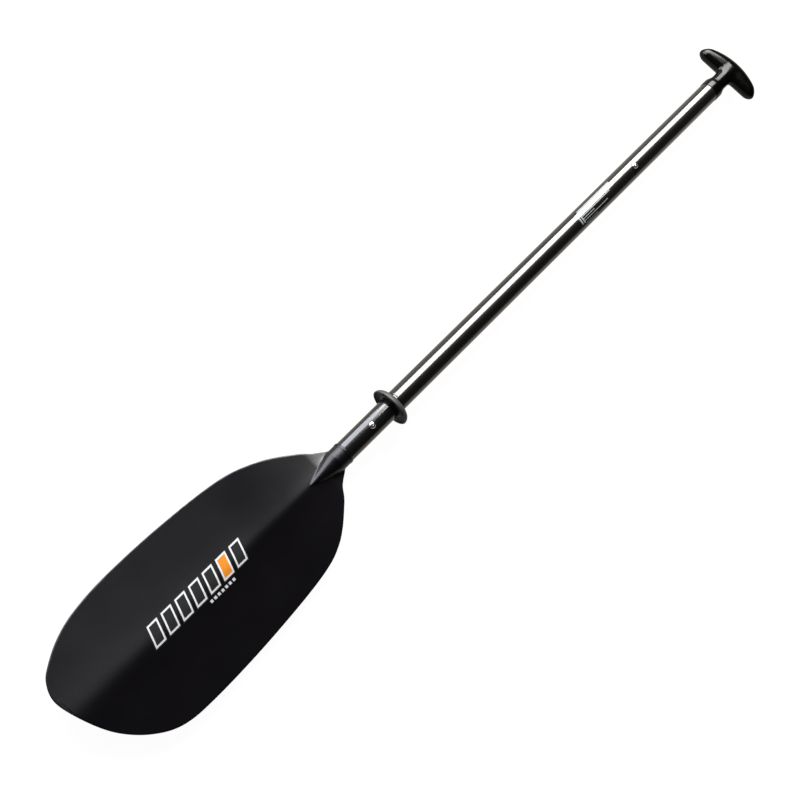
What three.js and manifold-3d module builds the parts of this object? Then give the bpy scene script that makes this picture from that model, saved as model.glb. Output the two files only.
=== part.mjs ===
// Take-apart kayak paddle with one asymmetric blade and a T-grip.
// Millimetres, +Z up. The paddle lies face up along X: grip towards +X, blade towards -X.
// Shapes are drawn with x = 0 at the seam between the two tubes and the tube axis on X.
// The finished group is then moved so that the origin is at the middle of the base of its box.

import * as THREE from 'three';
import { mergeVertices } from 'three/addons/utils/BufferGeometryUtils.js';
import Module from 'manifold-3d';

const wasm = await Module();
wasm.setup();

// ---------- driving dimensions ----------

// Tubes
const SHAFT_RADIUS = 14.3;
const SHAFT_WALL = 1.7;
const MAIN_SHAFT_LENGTH = 653;
const BLADE_SHAFT_LENGTH = 94;
const FERRULE_WALL = 1.7;
const FERRULE_IN_MAIN = 70;
const FERRULE_IN_BLADE = 61;
const GRIP_TUBE_WALL = 1.5;
const GRIP_TUBE_LENGTH = 200;
const TUBE_END_CHAMFER = 0.4;

// Clearances
const RUNNING_CLEARANCE = 0.15;
const GLUE_GAP = 0.15;
const FACE_GAP = 0.3;
const PIN_CLEARANCE = 0.25;
const LEAF_CLEARANCE = 0.3;

// Snap buttons and the leaf springs that carry them
const BUTTON_RADIUS = 4.5;
const BUTTON_STAND = 3.0;
const BUTTON_FLANGE_LIP = 1.1;
const BUTTON_FLANGE_THICKNESS = 1.2;
const LOWER_BUTTON_PAST_PLUG = 0.9;
const UPPER_BUTTON_FROM_TUBE_END = 22;
const BUTTON_DIMPLE_RADIUS = 1.3;
const BUTTON_DIMPLE_DEPTH = 0.9;
const LEAF_WIDTH = 8;
const LEAF_THICKNESS = 0.6;
const LEAF_REACH = 38;
const LEAF_PAST_FLANGE = 0.4;
const LEAF_BEND_RADIUS = 2.4;

// Plugs that keep water out
const PLUG_THICKNESS = 5;
const PLUG_INSET = 0.5;

// Drip ring: a rubber cup on a short hub
const RING_FROM_SEAM = 3.8;
const RING_HUB_LENGTH = 6;
const RING_HUB_WALL = 3;
const RING_CUP_REACH = 9.4;
const RING_CUP_DEPTH = 8;
const RING_THICKNESS = 2;

// Blade
const BLADE_LENGTH = 442;
const BLADE_LEFT = 92.4;
const BLADE_RIGHT = 97.2;
const LIP_STAND = 0.9;
const LIP_LENGTH = 3.6;
const NECK_STAND = 0.5;
const NECK_LENGTH = 17;
const FACE_SPINE_LENGTH = 68;
const BACK_SPINE_LENGTH = 235;
const SPIGOT_TO_FERRULE = 3.3;
const SPIGOT_WALL = 4.95;
const SPIGOT_BORE_PAST_LIP = 20;
const FACE_RISE = 5;
const FACE_RISE_FROM = 8;
const FACE_RISE_TO = 40;
const SPINE_SINK = 1.5;
const SPOON_DEPTH = 9;
const TIP_LIFT = 5;
const FLANK_SLOPE = Math.tan(THREE.MathUtils.degToRad(4));
const RIDGE_SLOPE = Math.tan(THREE.MathUtils.degToRad(9));
const RIDGE_ROUND_AT_THROAT = 2;
const RIDGE_ROUND_AT_TIP = 12;
const RIDGE_REACH_AT_THROAT = 12;
const RIDGE_REACH_AT_TIP = 36;
const CORE_THICKNESS = 6;
const EDGE_THICKNESS = 2.6;
const THROAT_BLEND = 2.4;

// T-grip
const GRIP_HALF_WIDTH = 49.5;
const GRIP_UNDERSIDE = 36.5;
const GRIP_CROWN = 66.2;
const GRIP_CROWN_RADIUS = 86;
const GRIP_END_ROUND = 11.5;
const GRIP_BAR_STAND = 1.4;
const GRIP_END_HALF_DEPTH = 9.5;
const COLLAR_STAND = 0.5;
const COLLAR_LENGTH = 9.5;
const COLLAR_SHOULDER = 6.5;
const BEAD_STAND = 0.9;
const BEAD_WIDTH = 2.6;
const GRIP_NECK_INSET = 2.7;
const GRIP_TWIST_DEGREES = -6;
const STEM_LENGTH = 34;
const STEM_WALL = 4.3;

// Fineness of the faceted shapes
const ROUND_STEPS = 48;
const BUTTON_STEPS = 24;
const BLADE_ACROSS = 22;
const GRIP_STATIONS = 24;
const GRIP_AROUND = 24;

// ---------- sizes that follow from them ----------

const TUBE_BORE = SHAFT_RADIUS - SHAFT_WALL;
const FERRULE_RADIUS = TUBE_BORE - RUNNING_CLEARANCE;
const FERRULE_BORE = FERRULE_RADIUS - FERRULE_WALL;
const GRIP_TUBE_RADIUS = TUBE_BORE - RUNNING_CLEARANCE;
const GRIP_TUBE_BORE = GRIP_TUBE_RADIUS - GRIP_TUBE_WALL;
const STEM_RADIUS = GRIP_TUBE_BORE - GLUE_GAP;
const STEM_BORE_RADIUS = STEM_RADIUS - STEM_WALL;
const SPIGOT_RADIUS = TUBE_BORE - GLUE_GAP;
const SPIGOT_BORE_RADIUS = SPIGOT_RADIUS - SPIGOT_WALL;
const LIP_X = -(BLADE_SHAFT_LENGTH + FACE_GAP);
const SPIGOT_END_X = -(FERRULE_IN_BLADE + SPIGOT_TO_FERRULE);
const BUTTON_HOLE_RADIUS = BUTTON_RADIUS + PIN_CLEARANCE;
const BUTTON_FLANGE_RADIUS = BUTTON_RADIUS + BUTTON_FLANGE_LIP;
const LEAF_PAD = BUTTON_FLANGE_RADIUS + LEAF_PAST_FLANGE;
const PLUG_END = PLUG_INSET + PLUG_THICKNESS;
const LOWER_BUTTON_FROM_END = PLUG_END + LOWER_BUTTON_PAST_PLUG + BUTTON_FLANGE_RADIUS;
const LOWER_BUTTON_X = -FERRULE_IN_BLADE + LOWER_BUTTON_FROM_END;
const MAIN_TOP_X = FACE_GAP + MAIN_SHAFT_LENGTH;
const COLLAR_X = MAIN_TOP_X + FACE_GAP;
const GRIP_TUBE_END_X = MAIN_TOP_X - GRIP_TUBE_LENGTH;
const UPPER_BUTTON_X = GRIP_TUBE_END_X + UPPER_BUTTON_FROM_TUBE_END;
const RING_BORE = SHAFT_RADIUS + FACE_GAP;
const RING_HUB_RADIUS = RING_BORE + RING_HUB_WALL;
const RING_RADIUS = RING_HUB_RADIUS + RING_CUP_REACH;
const LIP_RADIUS = SHAFT_RADIUS + LIP_STAND;
const NECK_RADIUS = SHAFT_RADIUS + NECK_STAND;
const COLLAR_RADIUS = SHAFT_RADIUS + COLLAR_STAND;
const GRIP_NECK_RADIUS = SHAFT_RADIUS - GRIP_NECK_INSET;
const BEAD_RADIUS = GRIP_NECK_RADIUS + BEAD_STAND;
const GRIP_HALF_DEPTH = GRIP_NECK_RADIUS + GRIP_BAR_STAND;

// ---------- materials ----------

const material = (color, roughness, metalness = 0) =>
  new THREE.MeshStandardMaterial({ color, roughness, metalness });

const MATERIALS = {
  nylon: material(0x1c1b1d, 0.55),
  carbon: material(0x26272a, 0.35),
  gloss: material(0x0a0908, 0.08),
  grip: material(0x060606, 0.12),
  rubber: material(0x3a393d, 0.7),
  insert: material(0x55575a, 0.5),
  foam: material(0x8d8f8c, 0.9),
  steel: material(0xc9c8c4, 0.25, 1),
  spring: material(0x9fa2a5, 0.35, 1),
};

// ---------- solids ----------

// Signed volume of an indexed triangle mesh: positive when its faces point out.
function signedVolume(position, index) {
  const a = new THREE.Vector3();
  const b = new THREE.Vector3();
  const c = new THREE.Vector3();
  let sum = 0;
  for (let i = 0; i < index.length; i += 3) {
    a.fromBufferAttribute(position, index[i]);
    b.fromBufferAttribute(position, index[i + 1]);
    c.fromBufferAttribute(position, index[i + 2]);
    sum += a.dot(b.cross(c));
  }
  return sum / 6;
}

// Turns a closed geometry into a solid: shared vertices merged, slivers dropped, faces outwards.
function solidFrom(geometry) {
  const bare = geometry.clone();
  bare.deleteAttribute('normal');
  bare.deleteAttribute('uv');
  const merged = mergeVertices(bare, 1e-4);
  const source = Array.from(merged.index.array);
  const kept = [];
  for (let i = 0; i < source.length; i += 3) {
    const [a, b, c] = source.slice(i, i + 3);
    if (a !== b && b !== c && c !== a) kept.push(a, b, c);
  }
  if (signedVolume(merged.attributes.position, kept) < 0) kept.reverse();
  const mesh = new wasm.Mesh({
    numProp: 3,
    vertProperties: Float32Array.from(merged.attributes.position.array),
    triVerts: Uint32Array.from(kept),
  });
  return new wasm.Manifold(mesh);
}

function geometryFrom(solid) {
  const mesh = solid.getMesh();
  const geometry = new THREE.BufferGeometry();
  geometry.setAttribute('position', new THREE.BufferAttribute(mesh.vertProperties, 3));
  geometry.setIndex(new THREE.BufferAttribute(mesh.triVerts, 1));
  geometry.computeVertexNormals();
  return geometry;
}

// A profile of [x, radius] points turned about the X axis.
function turned(profile, steps = ROUND_STEPS) {
  const points = profile.map(([x, radius]) => new THREE.Vector2(radius, x));
  return solidFrom(new THREE.LatheGeometry(points, steps).rotateZ(-Math.PI / 2));
}

// A tube along X with lightly chamfered outer ends.
function tube(x0, x1, outer, bore, chamfer = TUBE_END_CHAMFER) {
  return turned([
    [x0, bore],
    [x0, outer - chamfer],
    [x0 + chamfer, outer],
    [x1 - chamfer, outer],
    [x1, outer - chamfer],
    [x1, bore],
    [x0, bore],
  ]);
}

// A plain rod along X.
function rod(x0, x1, radius) {
  return turned([[x0, 0], [x0, radius], [x1, radius], [x1, 0]]);
}

// A radial hole for a snap button, from inside the tubes out through the upper wall.
function buttonHole(x) {
  const height = 2 * SHAFT_RADIUS;
  const hole = new THREE.CylinderGeometry(BUTTON_HOLE_RADIUS, BUTTON_HOLE_RADIUS, height, BUTTON_STEPS);
  hole.rotateX(Math.PI / 2);
  hole.translate(x, 0, height / 2);
  return solidFrom(hole);
}

// Joins rings of points, all of one length, into a closed body with a fan over each end.
function loft(rings) {
  const count = rings[0].length;
  const vertices = rings.flat().flatMap((point) => point.toArray());
  const index = [];
  for (let r = 0; r + 1 < rings.length; r += 1) {
    for (let i = 0; i < count; i += 1) {
      const next = (i + 1) % count;
      const a = r * count + i;
      const b = r * count + next;
      index.push(a, b, b + count, a, b + count, a + count);
    }
  }
  const fan = (ring, start, flip) => {
    const middle = new THREE.Vector3();
    ring.forEach((point) => middle.addScaledVector(point, 1 / count));
    const centre = vertices.length / 3;
    vertices.push(...middle.toArray());
    for (let i = 0; i < count; i += 1) {
      const a = start + i;
      const b = start + ((i + 1) % count);
      index.push(...(flip ? [a, centre, b] : [b, centre, a]));
    }
  };
  fan(rings[0], 0, true);
  fan(rings[rings.length - 1], (rings.length - 1) * count, false);
  const geometry = new THREE.BufferGeometry();
  geometry.setAttribute('position', new THREE.Float32BufferAttribute(vertices, 3));
  geometry.setIndex(index);
  return solidFrom(geometry);
}

// ---------- tubes, ferrule and plugs ----------

function bladeShaft() {
  const body = tube(-BLADE_SHAFT_LENGTH, 0, SHAFT_RADIUS, TUBE_BORE);
  return body.subtract(buttonHole(LOWER_BUTTON_X));
}

function mainShaft() {
  const body = tube(FACE_GAP, MAIN_TOP_X, SHAFT_RADIUS, TUBE_BORE);
  return body.subtract(buttonHole(UPPER_BUTTON_X));
}

function ferrule() {
  const body = tube(-FERRULE_IN_BLADE, FERRULE_IN_MAIN, FERRULE_RADIUS, FERRULE_BORE);
  return body.subtract(buttonHole(LOWER_BUTTON_X));
}

function gripTube() {
  const body = tube(GRIP_TUBE_END_X, MAIN_TOP_X, GRIP_TUBE_RADIUS, GRIP_TUBE_BORE);
  return body.subtract(buttonHole(UPPER_BUTTON_X));
}

// A foam disc glued just inside the open lower end of a tube.
function plug(endX, bore) {
  const x0 = endX + PLUG_INSET;
  return rod(x0, x0 + PLUG_THICKNESS, bore - GLUE_GAP);
}

// ---------- snap buttons ----------

// The highest that something of this half width may stand inside a round bore.
const heightInBore = (bore, halfWidth) => Math.sqrt(bore ** 2 - halfWidth ** 2) - LEAF_CLEARANCE;

// A domed pin with a dimple in its crown and a flange that holds it inside the tube.
function button(x, bore) {
  const flangeTop = heightInBore(bore, BUTTON_FLANGE_RADIUS);
  const flangeBase = flangeTop - BUTTON_FLANGE_THICKNESS;
  const crown = SHAFT_RADIUS + BUTTON_STAND;
  const domeRise = BUTTON_STAND * 0.8;
  const profile = [
    [0, flangeBase],
    [BUTTON_FLANGE_RADIUS, flangeBase],
    [BUTTON_FLANGE_RADIUS, flangeTop],
    [BUTTON_RADIUS, flangeTop],
  ];
  const domeSteps = 4;
  for (let i = 0; i <= domeSteps; i += 1) {
    const turn = (i / domeSteps) * (Math.PI / 2);
    const radius = BUTTON_DIMPLE_RADIUS + (BUTTON_RADIUS - BUTTON_DIMPLE_RADIUS) * Math.cos(turn);
    profile.push([radius, crown - domeRise + domeRise * Math.sin(turn)]);
  }
  profile.push([BUTTON_DIMPLE_RADIUS * 0.6, crown - BUTTON_DIMPLE_DEPTH]);
  profile.push([0, crown - BUTTON_DIMPLE_DEPTH]);
  const points = profile.map(([radius, height]) => new THREE.Vector2(radius, height));
  const geometry = new THREE.LatheGeometry(points, BUTTON_STEPS);
  return solidFrom(geometry.rotateX(Math.PI / 2).translate(x, 0, 0));
}

// The V-shaped leaf spring: a flat leaf on the bore's floor, a bend, and a leaf rising to the button.
function buttonSpring(x, bore) {
  const flangeBase = heightInBore(bore, BUTTON_FLANGE_RADIUS) - BUTTON_FLANGE_THICKNESS;
  const top = flangeBase - LEAF_CLEARANCE - LEAF_THICKNESS / 2;
  const floor = -heightInBore(bore, LEAF_WIDTH / 2) + LEAF_THICKNESS / 2;
  const line = [
    [x - LEAF_PAD, floor],
    [x + LEAF_REACH, floor],
  ];
  const bendSteps = 6;
  for (let i = 1; i <= bendSteps; i += 1) {
    const turn = (i / bendSteps) * Math.PI;
    line.push([
      x + LEAF_REACH + LEAF_BEND_RADIUS * Math.sin(turn),
      floor + LEAF_BEND_RADIUS * (1 - Math.cos(turn)),
    ]);
  }
  line.push([x + LEAF_PAD, top]);
  line.push([x - LEAF_PAD, top]);
  return strip(line, LEAF_THICKNESS, LEAF_WIDTH);
}

// A flat strip that follows a line of [x, z] points, centred on the XZ plane.
function strip(line, thickness, width) {
  const side = (sign) => line.map((point, i) => {
    const before = line[Math.max(i - 1, 0)];
    const after = line[Math.min(i + 1, line.length - 1)];
    const along = new THREE.Vector2(after[0] - before[0], after[1] - before[1]).normalize();
    const offset = (sign * thickness) / 2;
    return new THREE.Vector2(point[0] - along.y * offset, point[1] + along.x * offset);
  });
  const outline = new THREE.Shape([...side(1), ...side(-1).reverse()]);
  const geometry = new THREE.ExtrudeGeometry(outline, { depth: width, bevelEnabled: false });
  return solidFrom(geometry.translate(0, 0, -width / 2).rotateX(Math.PI / 2));
}

// ---------- drip ring ----------

// A hub that grips the tube, and a cup whose open side faces the blade.
function dripRing() {
  const backX = -RING_FROM_SEAM;
  const cup = [];
  const cupSteps = 5;
  for (let i = 0; i <= cupSteps; i += 1) {
    const turn = (i / cupSteps) * (Math.PI / 2);
    const radius = RING_HUB_RADIUS + (RING_RADIUS - RING_HUB_RADIUS) * Math.sin(turn);
    cup.push([radius, RING_CUP_DEPTH * (1 - Math.cos(turn))]);
  }
  const outer = cup.map(([radius, depth]) => [backX - depth, radius]);
  const shrink = RING_THICKNESS / (RING_RADIUS - RING_HUB_RADIUS);
  const inner = cup.map(([radius, depth]) => [
    backX - RING_THICKNESS - depth * (1 - RING_THICKNESS / RING_CUP_DEPTH),
    radius - (radius - RING_HUB_RADIUS) * shrink,
  ]);
  const rim = [backX - RING_CUP_DEPTH - RING_THICKNESS * 0.35, RING_RADIUS - RING_THICKNESS / 2];
  return turned([
    [backX, RING_BORE],
    ...outer,
    rim,
    ...inner.reverse(),
    [backX - RING_HUB_LENGTH, RING_HUB_RADIUS],
    [backX - RING_HUB_LENGTH, RING_BORE],
    [backX, RING_BORE],
  ]);
}

// ---------- blade ----------

// Half of the outline on each side, as [share of the length, share of that side's half width].
const LEFT_OUTLINE = [
  [0.016, 0.10], [0.034, 0.178], [0.068, 0.287], [0.102, 0.43], [0.186, 0.69],
  [0.30, 0.885], [0.50, 0.982], [0.69, 1.0], [0.81, 0.95], [0.885, 0.85],
  [0.945, 0.70], [0.982, 0.55],
];
const RIGHT_OUTLINE = [
  [0.016, 0.095], [0.034, 0.172], [0.068, 0.279], [0.102, 0.459], [0.186, 0.757],
  [0.29, 0.90], [0.50, 0.983], [0.70, 1.0], [0.81, 0.948], [0.885, 0.757],
  [0.945, 0.45], [0.982, 0.08],
];
const TIP_SIDE_STEP = 0.30;
const OUTLINE_SAMPLES = 400;

// The whole outline as one smooth line from the throat round the tip and back.
function bladeOutline() {
  const left = LEFT_OUTLINE.map(([u, y]) => new THREE.Vector2(u * BLADE_LENGTH, y * BLADE_LEFT));
  const right = RIGHT_OUTLINE.map(([u, y]) => new THREE.Vector2(u * BLADE_LENGTH, -y * BLADE_RIGHT));
  const tip = new THREE.Vector2(BLADE_LENGTH, TIP_SIDE_STEP * BLADE_LEFT);
  const line = new THREE.SplineCurve([...left, tip, ...right.reverse()]);
  const points = line.getPoints(OUTLINE_SAMPLES);
  const tipIndex = points.reduce((best, point, i) => (point.x > points[best].x ? i : best), 0);
  return { left: points.slice(0, tipIndex + 1), right: points.slice(tipIndex).reverse() };
}

const OUTLINE = bladeOutline();
const TIP_U = OUTLINE.left[OUTLINE.left.length - 1].x;

// Height of one side's outline at a distance u from the lip.
function edgeAt(side, u) {
  const after = side.findIndex((point) => point.x >= u);
  if (after <= 0) return side[0].y;
  const a = side[after - 1];
  const b = side[after];
  return THREE.MathUtils.mapLinear(u, a.x, b.x, a.y, b.y);
}

const smoothMax = (a, b, round) => 0.5 * (a + b + Math.hypot(a - b, round));

// Height of the ridge of the power face: it rises at the throat, then dips as a spoon does.
function ridgeHeight(u) {
  const rise = FACE_RISE * THREE.MathUtils.smoothstep(u, FACE_RISE_FROM, FACE_RISE_TO);
  const share = THREE.MathUtils.clamp((u - FACE_RISE_TO) / (BLADE_LENGTH - FACE_RISE_TO), 0, 1);
  const dip = Math.sin(Math.PI * share) * THREE.MathUtils.smoothstep(share, 0, 0.3);
  return rise - SPOON_DEPTH * dip + TIP_LIFT * share ** 3;
}

// Power face of the flat part: two halves that fall away from the ridge.
// The flanks are steeper beside the ridge and flatten towards the blade's edges.
function webTop(u, y) {
  const round = THREE.MathUtils.lerp(RIDGE_ROUND_AT_THROAT, RIDGE_ROUND_AT_TIP, u / BLADE_LENGTH);
  const reach = THREE.MathUtils.lerp(RIDGE_REACH_AT_THROAT, RIDGE_REACH_AT_TIP, u / BLADE_LENGTH);
  const away = Math.hypot(y, round) - round;
  return ridgeHeight(u) - FLANK_SLOPE * away - RIDGE_SLOPE * reach * (1 - Math.exp(-away / reach));
}

function webThickness(q) {
  return EDGE_THICKNESS + (CORE_THICKNESS - EDGE_THICKNESS) * (1 - q * q);
}

// A domed spine of a given half width and crown height, falling away steeply past its foot.
function spine(y, halfWidth, crown) {
  const share = Math.abs(y) / halfWidth;
  if (share < 1) return crown * Math.sqrt(1 - share * share);
  return 2 * halfWidth * (1 - share);
}

// How softly a spine meets the flat part, at a share of the spine's length.
const throatBlend = (share) => THROAT_BLEND * Math.min(1, share * 5) * (1 - share * share);

// Each spine sinks a little below the flat part before its end, so that its point fades out.
function faceHeight(u, y) {
  const share = THREE.MathUtils.clamp((u - NECK_LENGTH) / (FACE_SPINE_LENGTH - NECK_LENGTH), 0, 1);
  const flat = webTop(u, y);
  if (share >= 1) return flat;
  const crown = THREE.MathUtils.lerp(NECK_RADIUS, ridgeHeight(u) - SPINE_SINK, share);
  const dome = spine(y, NECK_RADIUS * (1 - share ** 1.1), crown);
  return smoothMax(flat, dome, throatBlend(share));
}

function backHeight(u, y, q) {
  const share = THREE.MathUtils.clamp((u - NECK_LENGTH) / (BACK_SPINE_LENGTH - NECK_LENGTH), 0, 1);
  const flat = webTop(u, y) - webThickness(q);
  if (share >= 1) return flat;
  const keel = webTop(u, 0) - CORE_THICKNESS;
  const crown = THREE.MathUtils.lerp(NECK_RADIUS, -keel - SPINE_SINK, share);
  const dome = spine(y, NECK_RADIUS * (1 - share ** 2), crown);
  return -smoothMax(-flat, dome, throatBlend(share));
}

// Distances from the lip at which the blade's sections are taken, closer together where it curves.
function bladeStations() {
  const stations = [];
  const throatSteps = 16;
  const bodySteps = 10;
  const tipSteps = 12;
  const throatEnd = FACE_SPINE_LENGTH;
  const tipStart = 0.74 * TIP_U;
  for (let i = 0; i < throatSteps; i += 1) {
    stations.push(THREE.MathUtils.lerp(LIP_LENGTH / 2, throatEnd, i / throatSteps));
  }
  for (let i = 0; i < bodySteps; i += 1) {
    stations.push(THREE.MathUtils.lerp(throatEnd, tipStart, i / bodySteps));
  }
  for (let i = 0; i <= tipSteps; i += 1) {
    const left = (1 - i / tipSteps) ** 2;
    stations.push(TIP_U - 0.2 - left * (TIP_U - tipStart));
  }
  return stations;
}

// One closed section across the blade: over the power face, then back under it.
function bladeSection(u) {
  const left = Math.max(edgeAt(OUTLINE.left, u), u < 2 * NECK_LENGTH ? NECK_RADIUS : -Infinity);
  const right = Math.min(edgeAt(OUTLINE.right, u), u < 2 * NECK_LENGTH ? -NECK_RADIUS : Infinity);
  const middle = (left + right) / 2;
  const half = (left - right) / 2;
  const face = [];
  const back = [];
  for (let i = 0; i <= BLADE_ACROSS; i += 1) {
    const q = Math.cos((Math.PI * i) / BLADE_ACROSS);
    const y = middle + half * q;
    face.push(new THREE.Vector3(LIP_X - u, y, faceHeight(u, y)));
    back.push(new THREE.Vector3(LIP_X - u, y, backHeight(u, y, q)));
  }
  return [...face, ...back.reverse()];
}

// The lip that the tube butts against, and the hollow spigot that the tube is glued over.
function bladeSpigot() {
  return turned([
    [LIP_X - 2 * LIP_LENGTH, 0],
    [LIP_X - 2 * LIP_LENGTH, NECK_RADIUS - 1],
    [LIP_X - LIP_LENGTH, NECK_RADIUS - 1],
    [LIP_X - LIP_LENGTH, LIP_RADIUS - 0.3],
    [LIP_X - LIP_LENGTH + 0.3, LIP_RADIUS],
    [LIP_X - 0.3, LIP_RADIUS],
    [LIP_X, LIP_RADIUS - 0.3],
    [LIP_X, SPIGOT_RADIUS],
    [SPIGOT_END_X - 1, SPIGOT_RADIUS],
    [SPIGOT_END_X, SPIGOT_RADIUS - 1],
    [SPIGOT_END_X, 0],
  ]);
}

function blade() {
  const body = loft(bladeStations().map(bladeSection));
  const boreX = LIP_X - SPIGOT_BORE_PAST_LIP;
  const bore = turned([
    [boreX - SPIGOT_BORE_RADIUS, 0],
    [boreX, SPIGOT_BORE_RADIUS],
    [SPIGOT_END_X + 1, SPIGOT_BORE_RADIUS],
    [SPIGOT_END_X + 1, 0],
  ]);
  return body.add(bladeSpigot()).subtract(bore);
}

// ---------- T-grip ----------

// Share of full size left at a place along the bar, rounding off at each end.
function endRound(y) {
  const past = Math.abs(y) - (GRIP_HALF_WIDTH - GRIP_END_ROUND);
  return past <= 0 ? 1 : Math.sqrt(Math.max(0, 1 - (past / GRIP_END_ROUND) ** 2));
}

// The bar: oval sections along Y, its crown falling towards the ends and its underside straight.
function gripBar() {
  const rings = [];
  for (let i = 1; i < GRIP_STATIONS; i += 1) {
    const y = -GRIP_HALF_WIDTH * Math.cos((Math.PI * i) / GRIP_STATIONS);
    const drop = GRIP_CROWN_RADIUS - Math.sqrt(GRIP_CROWN_RADIUS ** 2 - y * y);
    const crown = COLLAR_X + GRIP_CROWN - drop;
    const underside = COLLAR_X + GRIP_UNDERSIDE;
    const middle = (crown + underside) / 2;
    const halfHeight = ((crown - underside) / 2) * endRound(y);
    const towardsEnd = (y / GRIP_HALF_WIDTH) ** 2;
    const fullDepth = THREE.MathUtils.lerp(GRIP_HALF_DEPTH, GRIP_END_HALF_DEPTH, towardsEnd);
    const halfDepth = fullDepth * endRound(y);
    const ring = [];
    for (let k = 0; k < GRIP_AROUND; k += 1) {
      const turn = (2 * Math.PI * k) / GRIP_AROUND;
      ring.push(new THREE.Vector3(
        middle + halfHeight * Math.cos(turn),
        y,
        halfDepth * Math.sin(turn),
      ));
    }
    rings.push(ring);
  }
  return loft(rings);
}

// Stem, collar, bead and neck, turned about the tube's axis.
function gripNeck() {
  const shoulderX = COLLAR_X + COLLAR_LENGTH;
  const beadX = shoulderX + COLLAR_SHOULDER + 0.6;
  const beadEnd = beadX + BEAD_WIDTH;
  const barX = COLLAR_X + (GRIP_UNDERSIDE + GRIP_CROWN) / 2;
  const stemX = COLLAR_X - STEM_LENGTH;
  const shoulder = [];
  const shoulderSteps = 5;
  for (let i = 0; i <= shoulderSteps; i += 1) {
    const turn = (i / shoulderSteps) * (Math.PI / 2);
    shoulder.push([
      shoulderX + COLLAR_SHOULDER * Math.sin(turn),
      GRIP_NECK_RADIUS + (COLLAR_RADIUS - GRIP_NECK_RADIUS) * Math.cos(turn),
    ]);
  }
  return turned([
    [stemX, 0],
    [stemX, STEM_RADIUS - 1],
    [stemX + 1, STEM_RADIUS],
    [COLLAR_X, STEM_RADIUS],
    [COLLAR_X, COLLAR_RADIUS - 0.3],
    [COLLAR_X + 0.3, COLLAR_RADIUS],
    ...shoulder,
    [beadX, GRIP_NECK_RADIUS],
    [beadX + 0.4, BEAD_RADIUS],
    [beadEnd - 0.4, BEAD_RADIUS],
    [beadEnd, GRIP_NECK_RADIUS],
    [COLLAR_X + GRIP_UNDERSIDE - 3, GRIP_NECK_RADIUS + 0.4],
    [COLLAR_X + GRIP_UNDERSIDE, GRIP_NECK_RADIUS + 1.4],
    [COLLAR_X + GRIP_UNDERSIDE + 3, GRIP_NECK_RADIUS + 1.6],
    [barX, GRIP_NECK_RADIUS - 1],
    [barX, 0],
  ]);
}

function tGrip() {
  const stemX = COLLAR_X - STEM_LENGTH;
  const boreEnd = COLLAR_X + GRIP_UNDERSIDE;
  const bore = turned([
    [stemX - 1, 0],
    [stemX - 1, STEM_BORE_RADIUS],
    [boreEnd, STEM_BORE_RADIUS],
    [boreEnd + STEM_BORE_RADIUS, 0],
  ]);
  return gripBar().rotate([GRIP_TWIST_DEGREES, 0, 0]).add(gripNeck()).subtract(bore);
}

// ---------- assembly ----------

const paddle = new THREE.Group();

function place(group, name, solid, finish) {
  const mesh = new THREE.Mesh(geometryFrom(solid), MATERIALS[finish]);
  mesh.name = name;
  group.add(mesh);
}

const bladeModule = new THREE.Group();
place(bladeModule, 'blade', blade(), 'nylon');
place(bladeModule, 'blade_shaft', bladeShaft(), 'carbon');
place(bladeModule, 'drip_ring', dripRing(), 'rubber');

const mainModule = new THREE.Group();
place(mainModule, 'main_shaft', mainShaft(), 'gloss');
place(mainModule, 'ferrule', ferrule(), 'insert');
place(mainModule, 'ferrule_plug', plug(-FERRULE_IN_BLADE, FERRULE_BORE), 'foam');
place(mainModule, 'lower_button', button(LOWER_BUTTON_X, FERRULE_BORE), 'steel');
place(mainModule, 'lower_button_spring', buttonSpring(LOWER_BUTTON_X, FERRULE_BORE), 'spring');

const gripModule = new THREE.Group();
place(gripModule, 't_grip', tGrip(), 'grip');
place(gripModule, 'grip_tube', gripTube(), 'insert');
place(gripModule, 'grip_tube_plug', plug(GRIP_TUBE_END_X, GRIP_TUBE_BORE), 'foam');
place(gripModule, 'upper_button', button(UPPER_BUTTON_X, GRIP_TUBE_BORE), 'steel');
place(gripModule, 'upper_button_spring', buttonSpring(UPPER_BUTTON_X, GRIP_TUBE_BORE), 'spring');

paddle.add(bladeModule, mainModule, gripModule);

// The origin goes to the middle of the base of the finished box.
const box = new THREE.Box3().setFromObject(paddle);
const centre = box.getCenter(new THREE.Vector3());
paddle.position.set(-centre.x, -centre.y, -box.min.z);
paddle.updateMatrixWorld(true);

export default paddle;
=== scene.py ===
import math

import bmesh
import bpy
import numpy as np
from mathutils import Matrix, Vector


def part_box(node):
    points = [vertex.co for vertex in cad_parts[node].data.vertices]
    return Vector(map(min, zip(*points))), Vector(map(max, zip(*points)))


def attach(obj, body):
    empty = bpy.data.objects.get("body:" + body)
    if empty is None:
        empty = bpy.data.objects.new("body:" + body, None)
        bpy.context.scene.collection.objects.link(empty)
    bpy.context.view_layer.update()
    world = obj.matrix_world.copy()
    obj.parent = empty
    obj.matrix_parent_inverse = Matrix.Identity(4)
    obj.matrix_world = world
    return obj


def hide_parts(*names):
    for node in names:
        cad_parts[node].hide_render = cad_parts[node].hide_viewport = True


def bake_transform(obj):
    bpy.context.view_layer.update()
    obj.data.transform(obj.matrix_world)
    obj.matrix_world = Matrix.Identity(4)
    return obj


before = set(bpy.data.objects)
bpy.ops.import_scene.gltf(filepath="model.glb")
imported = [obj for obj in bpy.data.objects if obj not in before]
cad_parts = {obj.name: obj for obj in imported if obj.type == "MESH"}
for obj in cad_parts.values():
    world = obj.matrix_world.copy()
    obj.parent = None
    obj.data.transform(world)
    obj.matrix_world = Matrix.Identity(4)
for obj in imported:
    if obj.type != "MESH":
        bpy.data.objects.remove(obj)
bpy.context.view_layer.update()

# ---------- where the pieces are ----------
# Shapes are drawn in millimetres from the seam between the two tubes, with the tubes' axis on X.

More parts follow.
